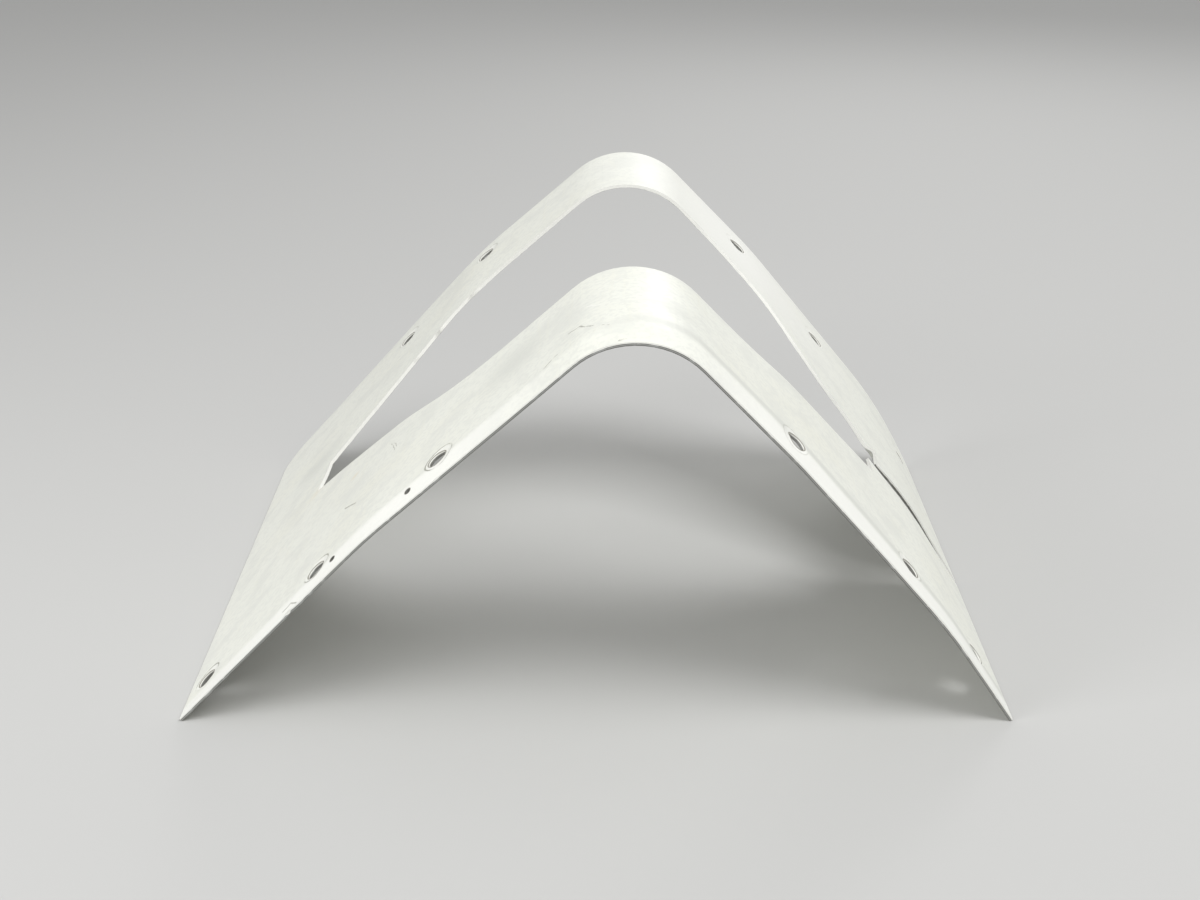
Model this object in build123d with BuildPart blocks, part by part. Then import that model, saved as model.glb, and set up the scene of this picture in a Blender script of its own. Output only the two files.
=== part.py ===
from build123d import *
import os
from math import cos, radians, sin, tan

os.makedirs("parts", exist_ok=True)

# Hinge cover: one sheet of aluminium folded over the nose of a control surface, with a slot
# over the fold for the hinge arm. It stands on its two ends like an upturned V.
# X runs from end to end, Y from the front edge to the rear edge, and Z is up.
# The origin is on the ground, under the middle of the sheet. All sizes are in millimetres.

# The sheet
sheet_thickness = 0.8
span = 173.0  # outside, from end to end
depth = 142.0  # front edge to rear edge
bend_radius = 19.0  # outside of the fold
knee_radius = 115.0  # where the slope of a leg changes
# The strip along the front edge is set down to tuck under the next skin, and widens to the right.
strip_left = 4.5
strip_right = 7.0
rear_corner_radius = 8.0

# Slopes of the legs in degrees. The left leg has two stretches and the right leg three,
# told from the ends up, along the front edge, along the crease of the strip and along the rear.
edge_left_slopes = (45.7, 41.2)
crease_left_slopes = (46.7, 41.5)
rear_left_slopes = (47.6, 40.6)
edge_right_slopes = (55.7, 48.8, 45.5)
crease_right_slopes = (56.9, 49.9, 45.7)
rear_right_slopes = (62.0, 50.4, 45.6)

# Lengths of those stretches, apart from the last one, which ends at the fold
edge_left_foot = 58.0
crease_left_foot = 58.7
rear_left_foot = 82.8
edge_right_foot = 24.8
rear_right_foot = 20.7
edge_right_shin = 48.5
rear_right_shin = 55.9

# The slot, in distances down each leg from the ridge and back from the front edge.
# Its sides are parallel over the fold and close in towards its ends.
slot_front = 42.0
slot_rear = 109.0
slot_side_radius = 60.0
slot_left_parallel = 51.0
slot_left_end = 101.5
slot_left_end_front = 71.0
slot_left_end_rear = 86.0
slot_right_parallel = 36.0
slot_right_end = 80.0
slot_right_end_front = 55.0
slot_right_end_rear = 73.0

# The slit runs from the slot's right end out through the end of the leg
slit_front = 63.2
slit_width = 2.0
slit_lead_in = 4.0  # the slot's rear side meets the slit this far down the leg

# Screw holes in rows, each told by its distance up the leg from its end and in from the edge
hole_diameter = 4.4
front_left_holes = ((5.3, 10.6), (41.9, 8.1), (77.7, 7.8))
front_right_holes = ((10.5, 12.5), (36.9, 10.2), (75.3, 7.5))
rear_left_holes = ((53.1, 9.0), (84.0, 6.5))
rear_right_holes = ((10.0, 18.0), (50.0, 14.0), (82.3, 10.5))

# Two small pilot holes beside the front edge of the left leg
pin_diameter = 1.5
pin_places = ((48.1, 3.8), (69.9, 3.6))

tool_reach = 15.0  # a cutting tool passes this far through a leg's plane
front = -depth / 2


def climb(start, side, slope, length):
    """The point that lies a length further up a leg, side being -1 on the left and 1 on the right."""
    return start[0] - side * length * cos(radians(slope)), start[1] + length * sin(radians(slope))


def leg_points(side, slopes, lengths):
    """Corners of a leg's outer line, from its end, which stands on its inner corner, up to the fold."""
    points = [(side * span / 2, sheet_thickness * cos(radians(slopes[0])))]
    for slope, length in zip(slopes, lengths):
        points.append(climb(points[-1], side, slope, length))
    return points


def outer_points(left_slopes, left_lengths, right_slopes, right_lengths):
    """Corners of the sheet's outer line, with the ridge where the two upper stretches would meet."""
    left = leg_points(-1, left_slopes, left_lengths)
    right = leg_points(1, right_slopes, right_lengths)
    rise, fall = tan(radians(left_slopes[-1])), tan(radians(right_slopes[-1]))
    (left_x, left_z), (right_x, right_z) = left[-1], right[-1]
    ridge_x = (right_z - left_z + fall * right_x + rise * left_x) / (rise + fall)
    ridge = (ridge_x, left_z + rise * (ridge_x - left_x))
    return left + [ridge] + right[::-1]


def cross_section(left_y, right_y, points):
    """The sheet's outer line and the face under it, on an upright plane from end to end."""
    along = Vector(span, right_y - left_y, 0)
    plane = Plane(origin=(0, (left_y + right_y) / 2, 0), x_dir=along, z_dir=along.cross(Vector(0, 0, 1)))
    radii = [knee_radius, bend_radius, knee_radius, knee_radius]
    with BuildSketch(plane) as profile:
        with BuildLine():
            outer = FilletPolyline(*points, radius=radii)
            offset(outer, amount=-sheet_thickness, side=Side.RIGHT)
        make_face()
    with BuildLine(plane) as outline:
        FilletPolyline(*points, radius=radii)
    return outline.wire(), profile.sketch.face()


def leg_plane(points, below):
    """Plane of a leg's upper stretch: X runs down the leg from the ridge, and Y to the rear."""
    ridge_x, ridge_z = points[2]
    down = Vector(below[0] - ridge_x, 0, below[1] - ridge_z)
    return Plane(origin=(ridge_x, front, ridge_z), x_dir=down, z_dir=down.cross(Vector(0, 1, 0)))


edge_points = outer_points(edge_left_slopes, (edge_left_foot,),
                           edge_right_slopes, (edge_right_foot, edge_right_shin))
crease_points = outer_points(crease_left_slopes, (crease_left_foot,),
                             crease_right_slopes, (edge_right_foot, edge_right_shin))
rear_points = outer_points(rear_left_slopes, (rear_left_foot,),
                           rear_right_slopes, (rear_right_foot, rear_right_shin))
edge_line, edge_face = cross_section(front, front, edge_points)
crease_line, crease_face = cross_section(front + strip_left, front + strip_right, crease_points)
rear_line, rear_face = cross_section(-front, -front, rear_points)
left_leg = leg_plane(crease_points, crease_points[1])
right_leg = leg_plane(crease_points, crease_points[3])


def on_sheet(side, up_leg, back):
    """A point of the outer surface, and the direction straight back from it along the sheet."""
    places = [line.position_at(up_leg if side < 0 else line.length - up_leg, PositionMode.LENGTH)
              for line in (edge_line, crease_line, rear_line)]
    near, far = places[:2] if front + back < places[1].Y else places[1:]
    share = (front + back - near.Y) / (far.Y - near.Y)
    return near + (far - near) * share, (far - near).normalized()


def seat(side, places):
    """Plane on the outer surface through two places, told up the leg and back, and their distance."""
    (first, straight_back), (second, _) = [on_sheet(side, *place) for place in places]
    along = second - first
    outward = along.cross(straight_back) * (-side)
    return Plane(origin=(first + second) / 2, x_dir=along, z_dir=outward), along.length


def end_seat(side, place):
    """Plane on the outer surface at a single hole near the end of a leg."""
    up_leg, back = place
    reach = hole_diameter / 2
    return seat(side, ((up_leg - reach, back), (up_leg + reach, back)))[0]


def slot_outline(parallel, end, end_front, end_rear, corners=()):
    """The slot's half on one leg's plane, closed along the ridge, with the corners its end has."""
    FilletPolyline((0, slot_front), (parallel, slot_front), (end, end_front), radius=slot_side_radius)
    Polyline((end, end_front), *corners, (end, end_rear))
    FilletPolyline((end, end_rear), (parallel, slot_rear), (0, slot_rear), radius=slot_side_radius)
    Line((0, slot_rear), (0, slot_front))


def from_rear(places):
    """Places told in from the rear edge, told back from the front edge instead."""
    return [(up_leg, depth - inward) for up_leg, inward in places]


rows = ((-1, front_left_holes), (1, front_right_holes),
        (-1, from_rear(rear_left_holes)), (1, from_rear(rear_right_holes)))

with BuildPart() as cover:
    loft([edge_face, crease_face, rear_face], ruled=True)
    corners = cover.edges().filter_by(lambda edge: edge.length < 1.5 * sheet_thickness)
    fillet(corners.group_by(Axis.Y)[-1], radius=rear_corner_radius)

    # The slot, cut square to each leg in turn
    with BuildSketch(left_leg):
        with BuildLine():
            slot_outline(slot_left_parallel, slot_left_end, slot_left_end_front, slot_left_end_rear)
        make_face()
    extrude(amount=tool_reach, both=True, mode=Mode.SUBTRACT)
    with BuildSketch(right_leg):
        with BuildLine():
            slot_outline(slot_right_parallel, slot_right_end, slot_right_end_front, slot_right_end_rear,
                         corners=((slot_right_end, slit_front),
                                  (slot_right_end + slit_lead_in, slit_front + slit_width)))
        make_face()
    extrude(amount=tool_reach, both=True, mode=Mode.SUBTRACT)

    # The slit, from the slot's right end to well past the end of the leg
    with BuildSketch(right_leg):
        with Locations((slot_right_end, slit_front)):
            Rectangle(span, slit_width, align=Align.MIN)
    extrude(amount=tool_reach, both=True, mode=Mode.SUBTRACT)

    # Each row has a pair of holes on one plane, and three of them one more near the leg's end
    for side, places in rows:
        pair, spacing = seat(side, places[-2:])
        with Locations(pair):
            with GridLocations(spacing, 0, 2, 1):
                Hole(hole_diameter / 2, depth=tool_reach / 2)
        for place in places[:-2]:
            with Locations(end_seat(side, place)):
                Hole(hole_diameter / 2, depth=tool_reach / 2)

    pins, spacing = seat(-1, pin_places)
    with Locations(pins):
        with GridLocations(spacing, 0, 2, 1):
            Hole(pin_diameter / 2, depth=tool_reach / 2)

cover.part.label = "hinge_cover"
export_step(cover.part, "parts/hinge_cover.step")
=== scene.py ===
import math

import bmesh
import bpy
import numpy as np
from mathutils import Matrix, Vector, noise


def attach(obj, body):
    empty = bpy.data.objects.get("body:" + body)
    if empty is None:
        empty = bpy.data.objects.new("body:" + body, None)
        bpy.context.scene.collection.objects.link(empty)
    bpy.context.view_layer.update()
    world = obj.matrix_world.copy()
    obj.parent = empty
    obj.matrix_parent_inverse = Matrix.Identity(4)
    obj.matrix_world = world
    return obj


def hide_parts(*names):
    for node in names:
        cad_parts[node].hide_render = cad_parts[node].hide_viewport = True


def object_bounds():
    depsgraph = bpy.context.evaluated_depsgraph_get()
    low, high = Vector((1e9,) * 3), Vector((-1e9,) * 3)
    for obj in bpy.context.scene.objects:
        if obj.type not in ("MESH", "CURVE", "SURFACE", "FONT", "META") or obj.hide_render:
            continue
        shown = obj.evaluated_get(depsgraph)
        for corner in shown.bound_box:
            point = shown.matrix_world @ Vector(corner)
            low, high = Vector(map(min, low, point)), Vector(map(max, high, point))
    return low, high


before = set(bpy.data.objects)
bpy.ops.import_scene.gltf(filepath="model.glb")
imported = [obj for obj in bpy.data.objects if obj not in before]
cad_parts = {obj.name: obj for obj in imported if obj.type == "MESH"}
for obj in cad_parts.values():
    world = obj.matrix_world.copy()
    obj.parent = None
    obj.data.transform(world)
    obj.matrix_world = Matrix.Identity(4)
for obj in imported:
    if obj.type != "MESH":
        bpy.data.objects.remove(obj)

solid_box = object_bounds()

# The cover is one sheet of aluminium 0.8 mm thick, folded over the nose of a control surface and
# cut out over the fold for a hinge's arm. Screws along its front and rear edges hold it down.

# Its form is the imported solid's. A copy of that mesh is welded and sliced into short facets, so
# that it can take the waves, knocks and burrs of use.
slice_step = 0.002  # metres between two slices
fine_step = 0.0007  # the same around a hole or a knock
slice_snap = 0.00002  # no slice passes this near a corner that is there
weld_reach = 0.000001
sharp_angle = math.radians(28)  # the rims of the holes and the cut edges are sharper

sheet_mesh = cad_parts["hinge_cover"].data.copy()
sheet_mesh.materials.clear()
cover = bpy.data.objects.new("cover_sheet", sheet_mesh)
bpy.context.scene.collection.objects.link(cover)

work = bmesh.new()
work.from_mesh(sheet_mesh)
bmesh.ops.remove_doubles(work, verts=work.verts, dist=weld_reach)
for edge in work.edges:
    edge.smooth = edge.calc_face_angle(0) < sharp_angle
for face in work.faces:
    face.smooth = True


def patches(mesh):
    """The mesh's faces in groups that sharp edges part, the largest group first."""
    left, groups = set(mesh.faces), []
    while left:
        group, reached = [], [left.pop()]
        while reached:
            face = reached.pop()
            group.append(face)
            for edge in face.edges:
                if edge.smooth:
                    for other in edge.link_faces:
                        if other in left:
                            left.remove(other)
                            reached.append(other)
        groups.append(group)
    return sorted(groups, key=lambda group: -sum(face.calc_area() for face in group))


# The two largest patches are the sheet's two sides, and the outer one faces up. The others are
# cut edges, and one that is no wider than a screw hole is its bore. Across a cut edge the layer
# "inner" runs from 0 on the outer side to 1 on the inner one.
screw_bore, widest_bore = 0.0035, 0.0070  # metres from corner to corner; pilot holes are smaller
outside = work.faces.layers.float.new("outside")
inner = work.verts.layers.float.new("inner")
holes, pilot_holes = [], []
for number, group in enumerate(patches(work)):
    corners = np.array([corner.co for face in group for corner in face.verts])
    low, high = corners.min(0), corners.max(0)
    upward = sum(face.normal.z * face.calc_area() for face in group)
    across = np.linalg.norm(high - low)
    if number > 1 and across < widest_bore:
        (holes if across > screw_bore else pilot_holes).append(Vector((low + high) / 2))
    for face in group:
        face[outside] = float(number < 2 and upward > 0)
        face.material_index = int(number > 1)
        if number < 2 and upward < 0:
            for corner in face.verts:
                corner[inner] = 1.0
holes.sort(key=lambda hole: (hole.y > 0, hole.x))


def slice_up(shape, low, high, step):
    """Cuts a shape of the mesh by planes square to X and to Y, between two corners of a box."""
    for axis in (0, 1):
        for cut in range(1, round((high[axis] - low[axis]) / step)):
            spot, across = Vector((0, 0, 0)), Vector((0, 0, 0))
            spot[axis] = low[axis] + cut * step
            across[axis] = 1
            shape = bmesh.ops.bisect_plane(work, geom=shape, plane_co=spot, plane_no=across,
                                           dist=slice_snap)["geom"]


def slice_near(place, reach):
    """Finer slices in a square around a place."""
    low, high = (Vector(place) + Vector((way * reach, way * reach, 0)) for way in (-1, 1))
    near = [face for face in work.faces
            if all(low[axis] < face.verts[0].co[axis] < high[axis] for axis in (0, 1))]
    corners = {corner for face in near for corner in face.verts}
    rims = {edge for face in near for edge in face.edges}
    slice_up([*corners, *rims, *near], low, high, fine_step)


slice_up(work.verts[:] + work.edges[:] + work.faces[:], *solid_box, slice_step)

# The slot was filed by hand: its rear edge is left in steps, its left end runs on in a point, and
# its right end has a curled lip. The last knock is a nick in the front edge. Each knock is told
# by its place, which way the metal went and how wide, all in millimetres.
knocks = (
    ((-23.0, 39.9, 67.1), (0.0, -0.6, 0.1), 1.1),
    ((-31.0, 36.6, 60.0), (0.0, -0.7, 0.0), 1.0),
    ((-39.5, 32.5, 51.6), (0.1, -0.9, 0.2), 1.0),
    ((-45.0, 29.9, 45.6), (0.0, -1.0, 0.2), 1.2),
    ((-55.4, 26.7, 34.3), (0.0, -0.8, 0.1), 1.0),
    ((-61.5, 24.2, 27.7), (0.0, -0.6, 0.0), 0.9),
    ((-67.2, -1.0, 24.0), (-1.0, -1.15, -0.9), 7.0),
    ((59.5, 4.5, 39.0), (0.3, 0.9, 0.1), 8.0),
    ((63.6, -2.6, 32.2), (1.2, 0.4, 1.1), 2.1),
    ((-62.4, -71.0, 24.8), (0.0, 0.8, 0.1), 1.1),
)
knock_ends = 3  # widths away from a knock's middle
knock_reach, seat_reach = 0.003, 0.0042  # metres of finer slices each way
for middle, _, _ in knocks:
    slice_near(Vector(middle) / 1000, knock_reach)
for hole in holes:
    slice_near(hole, seat_reach)

# Years of handling left the sheet slightly wavy, and the two sides of the slit spread apart, the
# rear one outwards. Both of the sheet's sides move the same way.
wave_height, wave_length = 0.00016, 0.034  # metres, as all that follow
steady_below = 0.020  # the two ends stay put, and the waves grow to their full height here
fold_x, fold_half = 0.003, 0.020  # the fold's ridge, and how far from it a leg is at its full lean
slit_start, slit_middle = 0.0625, -0.0068
slit_spread, slit_fade, slit_run_in = 0.00035, 0.007, 0.006

# The screws' heads were drawn down hard and pressed a shallow seat around each hole, a little
# off its middle, up the leg and towards the front.
seat_rim, seat_floor, seat_depth = 0.0037, 0.0024, 0.0004
seat_in, seat_forward, seat_up = 0.0004, 0.0005, 0.0005
seats = [hole + Vector((-math.copysign(seat_in, hole.x), -seat_forward, seat_up))
         for hole in holes]
for corner in work.verts:
    place = corner.co.copy()
    lean = min(max((place.x - fold_x) / fold_half, -1), 1)
    outward = Vector((lean, 0, 1)).normalized()
    steady = min(place.z / steady_below, 1)
    if place.x > slit_start:
        behind = place.y - slit_middle
        spread = slit_spread * math.copysign(math.exp(-(behind / slit_fade) ** 2), behind)
        corner.co += outward * spread * min((place.x - slit_start) / slit_run_in, 1) * steady
    corner.co += outward * wave_height * steady * noise.noise(place / wave_length)
    for middle, push, width in knocks:
        away = (place * 1000 - Vector(middle)).length / width
        if away < knock_ends:
            corner.co += Vector(push) / 1000 * math.exp(-away * away)
    for seat in seats:
        away = (place - seat).length
        if away < seat_rim:
            share = min((seat_rim - away) / (seat_rim - seat_floor), 1)
            corner.co -= outward * seat_depth * share * share * (3 - 2 * share)
work.normal_update()
work.to_mesh(sheet_mesh)
work.free()


class Term:
    """A socket in a material's tree. Sums written on it add their nodes to the tree."""

    def __init__(self, tree, socket=None):
        self.tree, self.socket = tree, socket

    def node(self, kind, settings, sockets, out=0):
        """Adds a node: its settings come first, then its sockets' values or links."""
        made = self.tree.nodes.new(kind)
        for name, value in settings.items():
            setattr(made, name, value)
        for name, value in sockets.items():
            if isinstance(value, Term):
                self.tree.links.new(value.socket, made.inputs[name])
            else:
                made.inputs[name].default_value = value
        return Term(self.tree, made.outputs[out])

    def sum(self, operation, *terms):
        """A Math node on terms and numbers."""
        return self.node("ShaderNodeMath", {"operation": operation}, dict(enumerate(terms)))

    def vector(self, operation, *terms, out=0):
        """A Vector Math node on places. Its second output is a number."""
        return self.node("ShaderNodeVectorMath", {"operation": operation},
                         dict(enumerate(terms)), out)

    def __add__(self, other):
        return self.sum("ADD", self, other)

    def __sub__(self, other):
        return self.sum("SUBTRACT", self, other)

    def __rsub__(self, other):
        return self.sum("SUBTRACT", other, self)

    def __mul__(self, other):
        return self.sum("MULTIPLY", self, other)

    __radd__, __rmul__ = __add__, __mul__

    def ramp(self, start, end):
        """0 where the term is at start and 1 where it is at end, with soft shoulders."""
        return self.node("ShaderNodeMapRange", {"interpolation_type": "SMOOTHSTEP"},
                         {"Value": self, "From Min": start, "From Max": end})

    def band(self, middle, half, soft):
        """1 where the term is within half of the middle, fading to 0 over the soft width."""
        away = self - middle
        return self.sum("ABSOLUTE", away).ramp(half + soft, half)

    def over(self, base, colour):
        """A colour laid over a base colour, as thick as the term says."""
        return self.node("ShaderNodeMix", {"data_type": "RGBA"}, {0: self, 6: base, 7: colour}, 2)

    def grain(self, place, scale, detail, stretch=(1, 1, 1)):
        """Noise on a place, finer with the scale, and longest where the stretch is least."""
        spread = self.vector("MULTIPLY", place, stretch)
        return self.node("ShaderNodeTexNoise", {},
                         {"Vector": spread, "Scale": scale, "Detail": detail})

    def distance(self, place, spot):
        """How far a spot is."""
        return self.vector("DISTANCE", place, spot, out=1)

    def nearest(self, place, spots):
        """How far the nearest of some spots is."""
        near = self.distance(place, spots[0])
        for spot in spots[1:]:
            near = self.sum("MINIMUM", near, self.distance(place, spot))
        return near

    def axis(self, place, number):
        """How far along X, Y or Z a place is."""
        return self.node("ShaderNodeSeparateXYZ", {}, {"Vector": place}, number)


# The sheet is sprayed satin off-white over primer. The paint has gone slightly patchy, and grime
# has settled in the prints of the screws' heads and in the scratches. Broad patches of painted
# shade and painted light follow how the light falls on the legs and the fold.
paint_colour = (0.80, 0.81, 0.74, 1)
paint_warm = (0.79, 0.78, 0.66, 1)
paint_cool = (0.70, 0.71, 0.66, 1)
# The next tint is painted shade, and the one after it is clean paint and painted highlight.
shade_tint = (0.65, 0.66, 0.61, 1)
clean_paint_and_highlight = (0.88, 0.88, 0.84, 1)
grime = (0.20, 0.19, 0.15, 1)
print_colour = (0.26, 0.26, 0.21, 1)
bare_metal = (0.62, 0.63, 0.62, 1)
stain_colour = (0.72, 0.62, 0.42, 1)

hole_radius = 0.0022
crease_y, crease_slope = -0.0653, 0.0145  # the set-down strip ends here, and widens to the right

# Marks in the paint, each from one place to another, with half its width, all in metres
dark_marks = (
    ((-0.0542, -0.0411, 0.0350), (-0.0512, -0.0450, 0.0382), 0.00030),
    ((0.0046, -0.0700, 0.0826), (0.0063, -0.0697, 0.0829), 0.00022),
    ((0.0063, -0.0697, 0.0829), (0.0084, -0.0688, 0.0831), 0.00016),
    ((-0.0054, -0.0564, 0.0797), (-0.0034, -0.0571, 0.0813), 0.00012),
    ((-0.0034, -0.0571, 0.0813), (-0.0010, -0.0609, 0.0827), 0.00014),
    ((-0.0010, -0.0609, 0.0827), (0.0027, -0.0643, 0.0841), 0.00010),
    ((-0.0109, -0.0646, 0.0745), (-0.0076, -0.0630, 0.0775), 0.00010),
    ((-0.0451, -0.0275, 0.0449), (-0.0439, -0.0345, 0.0461), 0.00010),
    ((-0.0445, -0.0285, 0.0455), (-0.0435, -0.0335, 0.0465), 0.00008),
    ((-0.0607, -0.0703, 0.0270), (-0.0621, -0.0683, 0.0260), 0.00022),
    ((-0.0621, -0.0683, 0.0260), (-0.0638, -0.0687, 0.0242), 0.00022),
)
pale_marks = (
    ((-0.0225, -0.0646, 0.0640), (-0.0205, -0.0640, 0.0657), 0.00025),
    ((-0.0018, -0.0478, 0.0826), (0.0008, -0.0503, 0.0838), 0.00020),
    ((-0.0640, -0.0560, 0.0235), (-0.0600, -0.0380, 0.0280), 0.00030),
    ((-0.0600, -0.0600, 0.0280), (-0.0560, -0.0420, 0.0320), 0.00025),
)
mark_soft, mark_core = 0.00012, 0.4  # the soft rim in metres, and the even core as a share

# Broad soft patches of painted shade and painted light on the legs and the fold, each a place, a
# reach in metres, how thick it is at its middle and its tint
shading_patches = (
    ((-0.0168, -0.0450, 0.0700), 0.014, 0.75, shade_tint),
    ((-0.0700, 0.0260, 0.0180), 0.013, 0.70, shade_tint),
    ((-0.0380, -0.0300, 0.0510), 0.012, 0.25, shade_tint),
    ((0.0165, -0.0530, 0.0825), 0.007, 0.60, shade_tint),
    ((0.0600, -0.0400, 0.0350), 0.016, 0.15, shade_tint),
    ((0.0350, 0.0550, 0.0660), 0.055, 0.85, clean_paint_and_highlight),
)


def capsule(place, start, end):
    """How far a straight mark is."""
    start, run = Vector(start), Vector(end) - Vector(start)
    step = place.vector("SUBTRACT", place, start)
    along = place.vector("DOT_PRODUCT", step, run / run.length_squared, out=1)
    along = along.node("ShaderNodeMath", {"operation": "ADD", "use_clamp": True},
                       {0: along, 1: 0.0})
    return place.distance(place, place.vector("MULTIPLY_ADD", run, along, start))


def marks(place, scratches):
    """1 on the nearest scratch, fading to 0 at its rim."""
    nearest = None
    for start, end, half in scratches:
        one = capsule(place, start, end).ramp(half + mark_soft, half * mark_core)
        nearest = one if nearest is None else one.sum("MAXIMUM", one, nearest)
    return nearest


def beside_slit(across, apart):
    """1 on the slit and its two rims."""
    return apart.band(slit_middle, 0.0018, 0.0003) * across.ramp(slit_start, slit_start + 0.002)


def layered(base, layers):
    """Tints laid over a base colour, each told by where it shows and how thick it is."""
    for where, thickness, tint in layers:
        base = (where * thickness).over(base, tint)
    return base


def finish(material, colour, roughness, height, relief):
    """Gives a material's shader its colour, its roughness and a relief of so many metres."""
    bumps = height.node("ShaderNodeBump", {},
                        {"Height": height, "Distance": relief, "Strength": 1.0})
    shader = material.node_tree.nodes["Principled BSDF"]
    for term, name in ((colour, "Base Color"), (roughness, "Roughness"), (bumps, "Normal")):
        material.node_tree.links.new(term.socket, shader.inputs[name])


paint = bpy.data.materials.new("worn_white_paint")
paint.use_nodes = True
mix = Term(paint.node_tree)
place = mix.node("ShaderNodeTexCoord", {}, {}, "Object")
outer = mix.node("ShaderNodeAttribute", {"attribute_name": "outside"}, {}, "Fac")
across, apart = mix.axis(place, 0), mix.axis(place, 1)

# The spray's grain, and the streaks that wiping left along the legs and across them
cloud = mix.grain(place, 38, 4)
patchy = mix.grain(place, 120, 5)
speck = mix.grain(place, 900, 3)
streak_along = mix.grain(place, 60, 3, (1, 14, 1))
streak_across = mix.grain(place, 60, 3, (12, 1, 12))

# The prints of the screws' heads are strongest on the left and in front.
to_seat = mix.nearest(place, seats)
on_left, in_front = across.ramp(0.010, -0.010), apart.ramp(0.010, -0.010)
ring = to_seat.band(seat_rim, 0.00006, 0.00022) * patchy.ramp(0.36, 0.50) * outer
ring = ring * (0.3 + 0.7 * on_left) * (0.35 + 0.65 * in_front)
worn_seat = to_seat.ramp(seat_rim, seat_rim - 0.0005) * outer
rim_grime = mix.nearest(place, holes).ramp(hole_radius + 0.00042, hole_radius + 0.0002) * outer
pilot_grime = mix.nearest(place, pilot_holes).ramp(0.00105, 0.00085) * outer

# The set-down strip is painted lighter, a painted highlight for its tilt toward the light, and a
# soft painted shade lies behind its crease.
behind_crease = apart - (across * crease_slope + crease_y)
off_fold = 1 - across.band(fold_x, 0.006, 0.030)
strip = behind_crease.ramp(0.0012, -0.0014) * outer * off_fold
crease_shade = behind_crease.band(0.0022, 0.0004, 0.0026) * outer * across.ramp(0.004, 0.016)
# Both lips of the slit are painted lighter: a painted highlight.
slit_rim_highlight = beside_slit(across, apart) * outer

# Scratches wander by half a millimetre, and two spots of rust-coloured water dried on the left.
wander = mix.node("ShaderNodeTexNoise", {}, {"Vector": place, "Scale": 450.0}, 1)
wander = mix.vector("SUBTRACT", wander, (0.5, 0.5, 0.5))
wobble = mix.vector("MULTIPLY_ADD", wander, (0.001, 0.001, 0.001), place)
dark = marks(wobble, dark_marks) * outer
pale = marks(wobble, pale_marks) * outer
stain = mix.distance(place, (-0.0544, -0.0227, 0.0350)).ramp(0.0020, 0.0004) * 0.35
stain = stain + mix.distance(place, (-0.0685, -0.0020, 0.0235)).ramp(0.0045, 0.0010) * 0.30
stain = stain * outer

# Where an edge is round, the paint is rubbed thin.
rounded = mix.node("ShaderNodeBevel", {"samples": 4}, {"Radius": 0.0006})
straight = mix.node("ShaderNodeNewGeometry", {}, {}, "Normal")
rim = 1 - mix.vector("DOT_PRODUCT", rounded, straight, out=1)
rim_wear = rim.ramp(0.02, 0.12) * patchy.ramp(0.52, 0.60)

colour = layered(paint_colour, [
    (cloud.ramp(0.45, 0.75), 0.30, paint_warm),
    (patchy.ramp(0.46, 0.66), 0.60, paint_cool),
    (speck.ramp(0.46, 0.62), 0.55, paint_cool),
    (streak_along.ramp(0.50, 0.75), 0.22, paint_cool),
    (streak_across.ramp(0.55, 0.75), 0.18, paint_warm),
    *((mix.distance(place, spot).ramp(reach, 0.0) * outer, thickness, tint)
      for spot, reach, thickness, tint in shading_patches),
    (strip, 0.75, clean_paint_and_highlight),
    (slit_rim_highlight, 0.80, clean_paint_and_highlight),
    (crease_shade, 0.90, shade_tint),
    (pale, 0.60, clean_paint_and_highlight),
    (stain, 1.00, stain_colour),
    (worn_seat, 0.50, clean_paint_and_highlight),
    (ring, 0.85, print_colour),
    (rim_grime, 0.90, grime),
    (pilot_grime, 0.85, grime),
    (dark, 0.60, grime),
    (rim_wear, 0.25, bare_metal),
])
roughness = 0.30 + 0.16 * patchy + 0.10 * speck + 0.15 * dark - 0.08 * rim_wear
height = (0.25 * speck + 0.5 * streak_along + 0.3 * streak_across + 1.2 * patchy
          - 1.6 * ring - 2.0 * dark)
finish(paint, colour, roughness, height, 0.00003)

# The edges of the slot, the slit and the holes were cut before the paint, which is thin there.
# Their lower part is painted near-black, deepest in the bores, in the slit and along the sheared
# front edge: a painted shade for the shade inside the holes and the slit and under the front edge.
# The depth in an edge runs from 0 at its outer rim to 1 at its inner one.
edge_paint = (0.88, 0.88, 0.83, 1)
# The next colour is a painted shade, near-black.
edge_shade_dark = (0.07, 0.07, 0.06, 1)
unshaded_depth = 0.95  # the others are how much less it is there
less_in_bore, less_in_pilot, less_in_front, less_in_slit = 0.68, 1.0, 0.60, 0.50

edges = bpy.data.materials.new("cut_edge")
edges.use_nodes = True
mix = Term(edges.node_tree)
place = mix.node("ShaderNodeTexCoord", {}, {}, "Object")
depth = mix.node("ShaderNodeAttribute", {"attribute_name": "inner"}, {}, "Fac")
across, apart = mix.axis(place, 0), mix.axis(place, 1)
chips = mix.grain(place, 500, 4).ramp(0.50, 0.66)
file_marks = mix.grain(place, 700, 2, (6, 1, 6))

front_edge = apart.ramp(-0.0702, -0.0706)
in_slit = beside_slit(across, apart)
in_bore = mix.nearest(place, holes).ramp(hole_radius + 0.0005, hole_radius + 0.0003)
in_pilot = mix.nearest(place, pilot_holes).ramp(0.0016, 0.0013)
# Below this depth the edge takes the painted shade.
shade_from = (unshaded_depth - less_in_bore * in_bore - less_in_pilot * in_pilot
             - less_in_front * front_edge - less_in_slit * in_slit + 0.08 * chips)
edge_shade = (depth - shade_from).ramp(-0.08, 0.08)
sheared_line = depth.band(0.66, 0.05, 0.12) * front_edge
colour = layered(edge_paint, [
    (edge_shade, 0.90, edge_shade_dark),
    (sheared_line, 0.40, bare_metal),
    (chips, 0.15, bare_metal),
])
finish(edges, colour, 0.5 + 0.1 * edge_shade, file_marks, 0.00004)

sheet_mesh.materials.append(paint)
sheet_mesh.materials.append(edges)

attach(cover, "root")
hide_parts("hinge_cover")

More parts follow.
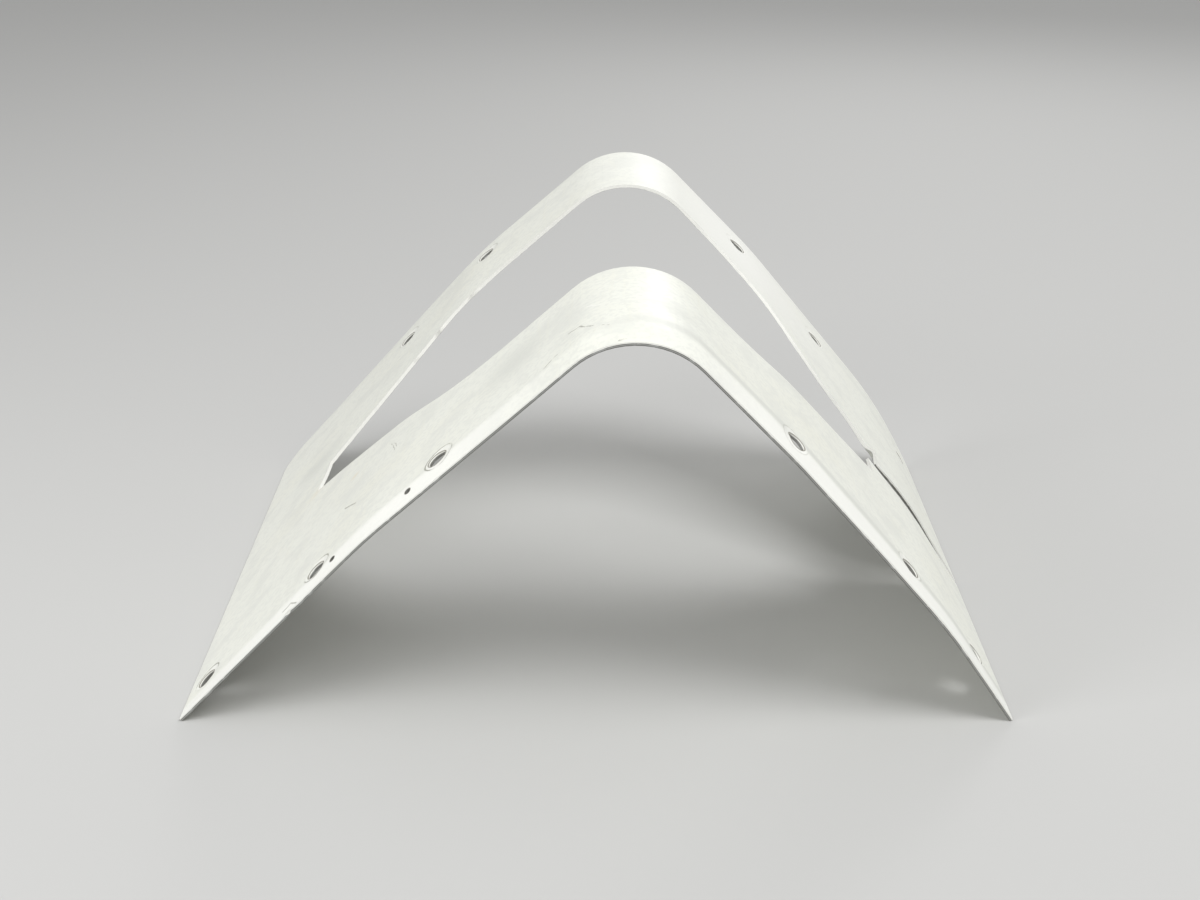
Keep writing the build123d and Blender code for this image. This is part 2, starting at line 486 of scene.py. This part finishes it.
# The cover stands on a plain pale floor, which is matt and reaches well past the picture.
floor_reach = 4.0
floor_colour, floor_roughness = (0.52, 0.52, 0.51, 1), 0.9
floor_mesh = bpy.data.meshes.new("floor")
floor_mesh.from_pydata([(-floor_reach, -floor_reach, 0), (floor_reach, -floor_reach, 0),
                        (floor_reach, floor_reach, 0), (-floor_reach, floor_reach, 0)],
                       [], [(0, 1, 2, 3)])
floor = bpy.data.objects.new("floor", floor_mesh)
bpy.context.scene.collection.objects.link(floor)
floor_paint = bpy.data.materials.new("floor")
floor_paint.use_nodes = True
floor_shader = floor_paint.node_tree.nodes["Principled BSDF"]
floor_shader.inputs["Base Color"].default_value = floor_colour
floor_shader.inputs["Roughness"].default_value = floor_roughness
floor_mesh.materials.append(floor_paint)

# Soft light comes from a pale sky and from a large lamp high in front, to the right. A lower one
# fills in the left leg, and a small one behind puts the gloss on the fold.
sky_strength = 0.55
world = bpy.data.worlds.new("studio")
bpy.context.scene.world = world
world.use_nodes = True
world.node_tree.nodes["Background"].inputs["Color"].default_value = (1, 1, 1, 1)
world.node_tree.nodes["Background"].inputs["Strength"].default_value = sky_strength


def lamp(name, place, aim, width, power):
    """A square soft lamp that faces a point."""
    light = bpy.data.lights.new(name, "AREA")
    light.size = width
    light.energy = power
    holder = bpy.data.objects.new(name, light)
    holder.location = place
    holder.rotation_euler = (Vector(aim) - Vector(place)).to_track_quat("-Z", "Y").to_euler()
    bpy.context.scene.collection.objects.link(holder)


lamp("key", (0.37, -0.27, 0.9), (0, 0, 0.05), 0.5, 5.9)
lamp("fill", (-0.50, -0.34, 0.26), (-0.09, 0, 0.015), 0.34, 1.65)
lamp("rear", (0.22, 0.68, 0.46), (0.03, 0.03, 0.06), 0.24, 0.8)

# The camera stands where the photograph was taken from, in front of the cover and above its fold.
# Its place and lens were fitted to the cover's outline.
camera_data = bpy.data.cameras.new("camera")
camera_data.lens = 54
camera_data.sensor_width = 36
camera_data.clip_start = 0.01
camera = bpy.data.objects.new("camera", camera_data)
camera.location = (0.0008, -0.3971, 0.1911)
camera.rotation_euler = (math.radians(68.2), 0, 0)
bpy.context.scene.collection.objects.link(camera)
bpy.context.scene.camera = camera

bpy.context.scene.view_settings.view_transform = "Standard"
